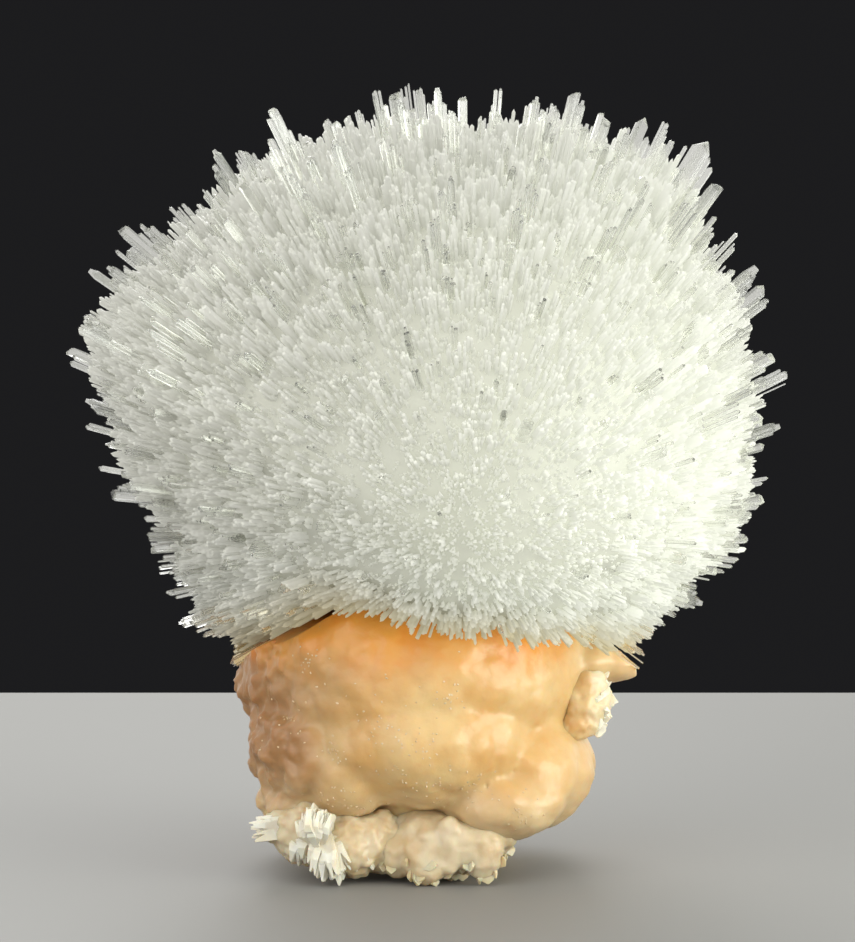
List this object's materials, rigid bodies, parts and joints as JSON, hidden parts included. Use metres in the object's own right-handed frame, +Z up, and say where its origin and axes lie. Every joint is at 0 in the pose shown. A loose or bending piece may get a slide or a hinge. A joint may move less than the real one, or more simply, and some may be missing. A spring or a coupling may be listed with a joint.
{
  "type": "scolecite mineral specimen",
  "caption": "Ball of radiating white scolecite needles grown on a lump of peach stilbite, a loose cabinet specimen that rests on a small flat spot.",
  "frame": {"origin": "the flat spot on the underside of the stilbite that the specimen rests on", "axes": "+Z up through the spray, the picture looks along +Y, +X to the picture's right"},
  "size_m": [0.0906, 0.0848, 0.0982],
  "materials": {
    "scolecite": "milky white crystal needles with clear glassy tips",
    "peach_stilbite": "waxy translucent peach crystal with fine glints",
    "cream_stilbite": "pale cream, faintly fibrous, waxy",
    "white_stilbite": "white pearly bow-tie sheaves"
  },
  "bodies": {
    "root": {"scolecite_spray": "scolecite", "stilbite_mass": "peach_stilbite", "stilbite_foot_lobe": "cream_stilbite", "stilbite_side_lobe": "cream_stilbite", "stilbite_sheaves": "white_stilbite"}
  },
  "joints": []
}
